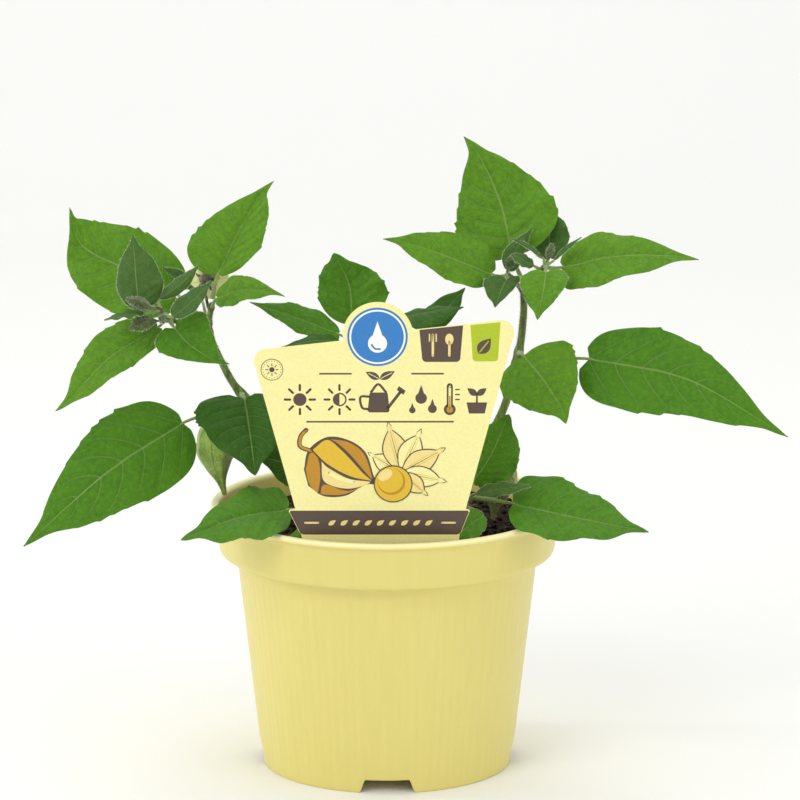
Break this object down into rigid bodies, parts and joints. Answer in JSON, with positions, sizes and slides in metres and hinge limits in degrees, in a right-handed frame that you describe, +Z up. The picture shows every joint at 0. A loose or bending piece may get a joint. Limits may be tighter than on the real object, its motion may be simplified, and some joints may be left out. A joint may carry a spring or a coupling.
{
  "type": "potted physalis plant",
  "caption": "Young physalis (ground cherry) plant with leafy shoots, green husks, buds and a flower, in a pale yellow plastic nursery pot with a plant label.",
  "frame": {"origin": "middle of the whole plant's box in plan, on the surface that the pot stands on; the pot's axis is 6.5 mm towards -X from it", "axes": "+X to the right as seen from the label's side, +Y away from the label towards the back of the pot, +Z up"},
  "size_m": [0.2553, 0.12, 0.2151],
  "materials": {
    "pot_plastic": "satin",
    "potting_soil": "matte",
    "label_card": "satin",
    "stem": "matte",
    "leaf": "satin",
    "husk": "matte",
    "petal": "matte",
    "bud": "matte"
  },
  "bodies": {
    "root": {"back_flat_leaf": "leaf", "back_left_leaf": "leaf", "back_low_leaf": "leaf", "back_right_leaf": "leaf", "back_shoot": "stem", "back_upper_leaf": "leaf", "flower_calyx": "bud", "flower_corolla": "petal", "front_right_leaf": "leaf", "front_rim_leaf": "leaf", "label_back_leaf": "leaf", "label_right_leaf": "leaf", "left_back_leaf": "leaf", "left_behind_leaf": "leaf", "left_big_leaf": "leaf", "left_dark_leaf": "leaf", "left_drooping_leaf": "leaf", "left_edge_leaf": "leaf", "left_heart_leaf": "leaf", "left_husk": "husk", "left_inner_leaf": "leaf", "left_low_shoot": "stem", "left_narrow_leaf": "leaf", "left_rim_leaf": "leaf", "left_shoot": "stem", "left_small_leaf": "leaf", "left_top_leaf": "leaf", "left_young_leaf": "leaf", "long_bud": "bud", "plant_label": "label_card", "pot": "pot_plastic", "right_behind_leaf": "leaf", "right_big_leaf": "leaf", "right_dark_leaf": "leaf", "right_heart_leaf": "leaf", "right_husk": "husk", "right_inner_bud": "bud", "right_inner_leaf": "leaf", "right_low_narrow_leaf": "leaf", "right_low_shoot": "stem", "right_middle_leaf": "leaf", "right_needle_left_leaf": "leaf", "right_needle_right_leaf": "leaf", "right_outer_leaf": "leaf", "right_rim_leaf": "leaf", "right_shoot": "stem", "right_small_heart_leaf": "leaf", "right_tall_bud": "bud", "right_tiny_leaf": "leaf", "right_top_leaf": "leaf", "round_bud": "bud", "small_round_bud": "bud", "soil": "potting_soil", "under_bud": "bud"}
  },
  "joints": []
}
